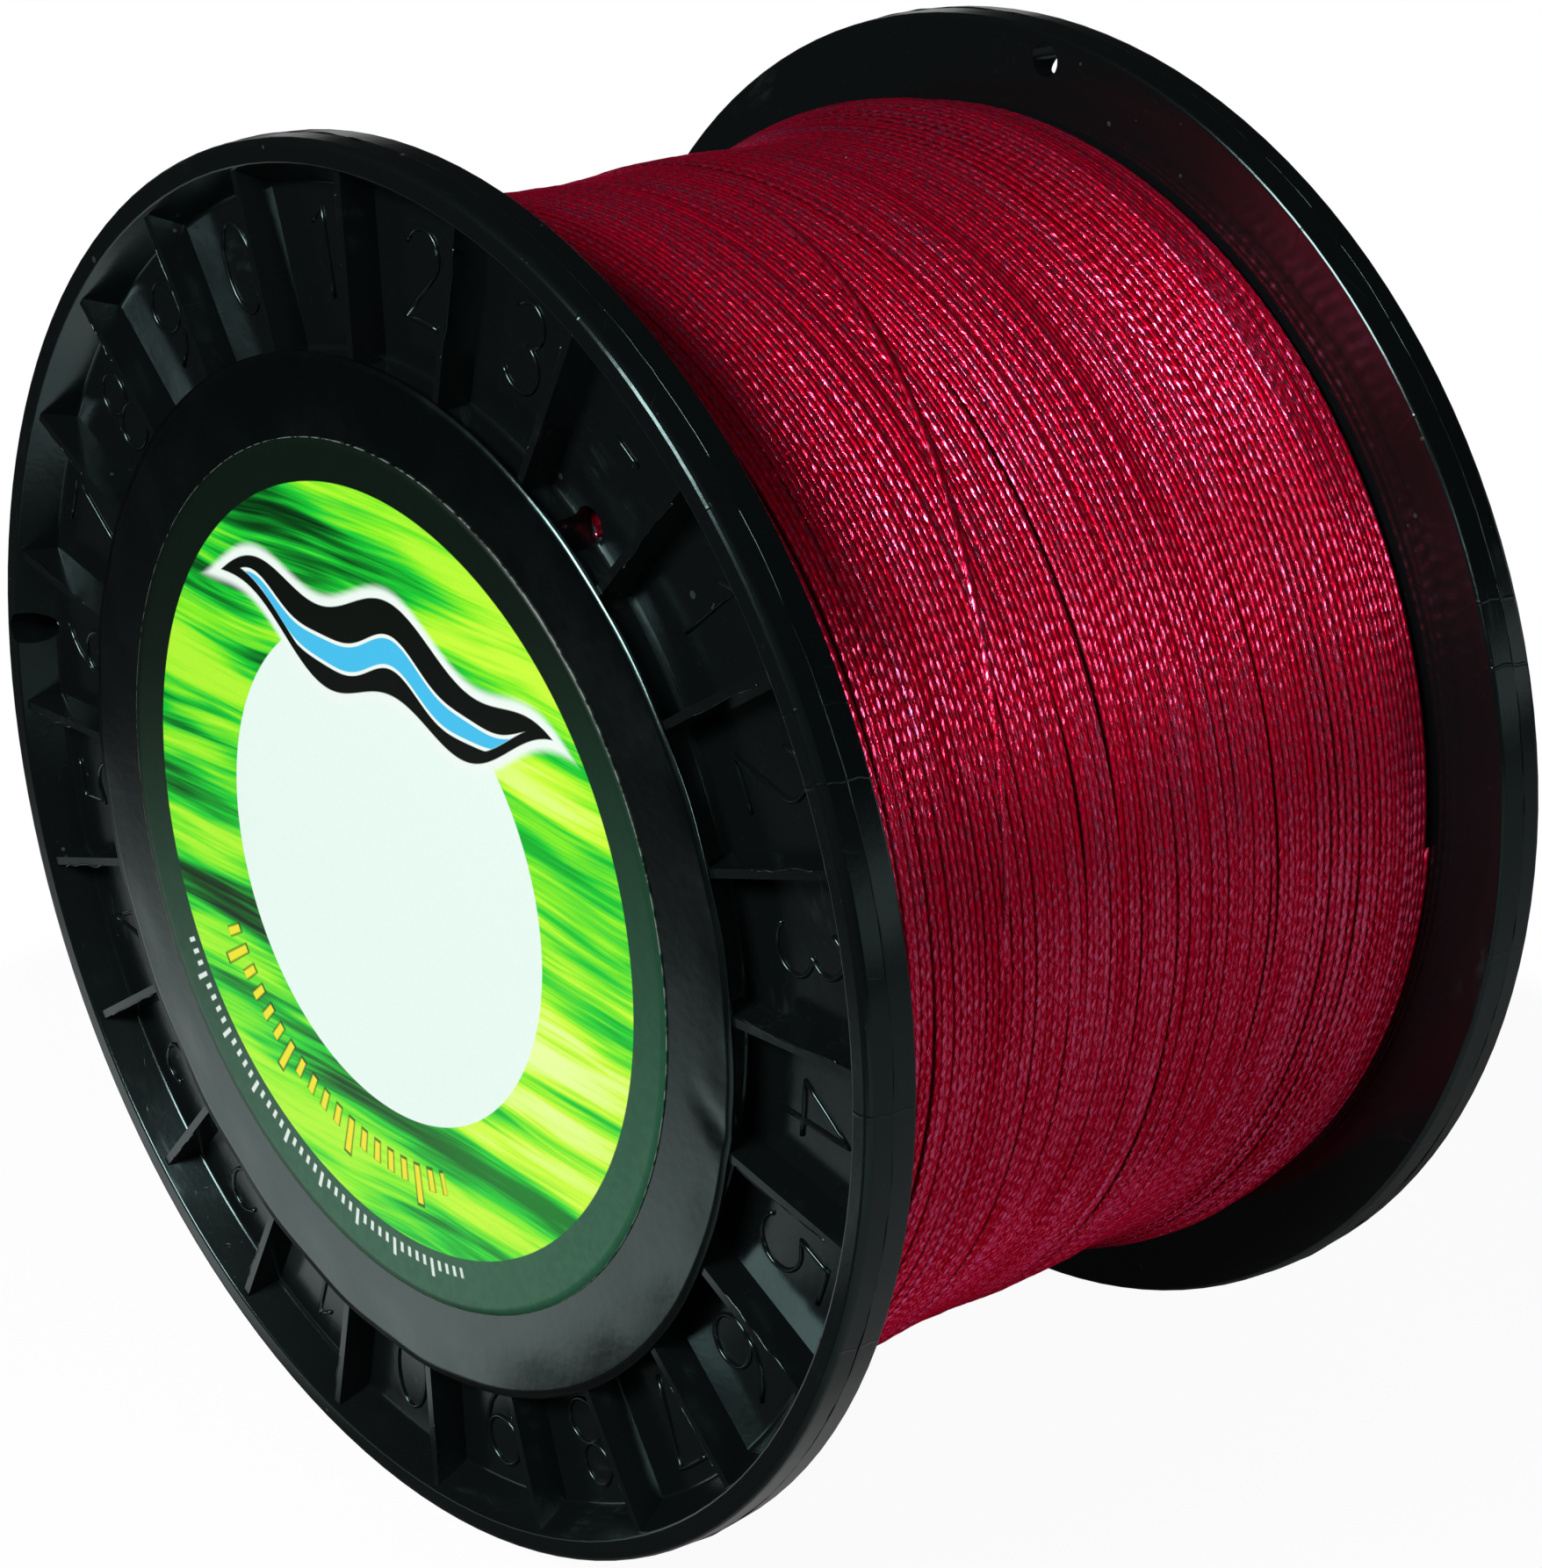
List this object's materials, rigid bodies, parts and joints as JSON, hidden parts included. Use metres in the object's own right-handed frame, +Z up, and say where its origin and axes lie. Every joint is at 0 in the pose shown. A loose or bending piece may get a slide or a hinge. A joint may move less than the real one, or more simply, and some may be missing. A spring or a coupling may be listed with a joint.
{
  "type": "fishing line spool",
  "caption": "Loaded spool of braided line: ribbed round flanges on a barrel with an arbor bore, a close winding between them, a black disc and a round label on the front.",
  "frame": {"origin": "middle of the spool, on the arbor bore's axis", "axes": "+Y along the arbor bore towards the open rear hub, -Y is the labelled front, +Z up, standing on both rims"},
  "size_m": [0.165, 0.101, 0.165],
  "materials": {
    "flange_plastic": "gloss moulded black, lightly scratched and dusty",
    "barrel_plastic": "plain moulded black",
    "line": "tightly braided crimson fibre with a waxy sheen",
    "disc_film": "semi-gloss black film, sagging between the ribs",
    "label_paper": "coated paper, printed in greens with a pale round panel"
  },
  "bodies": {
    "root": {"front_flange": "flange_plastic", "rear_flange": "flange_plastic", "barrel": "barrel_plastic", "line_pack": "line", "line_turns": "line", "line_start": "line", "backing_disc": "disc_film", "printed_label": "label_paper"}
  },
  "joints": []
}
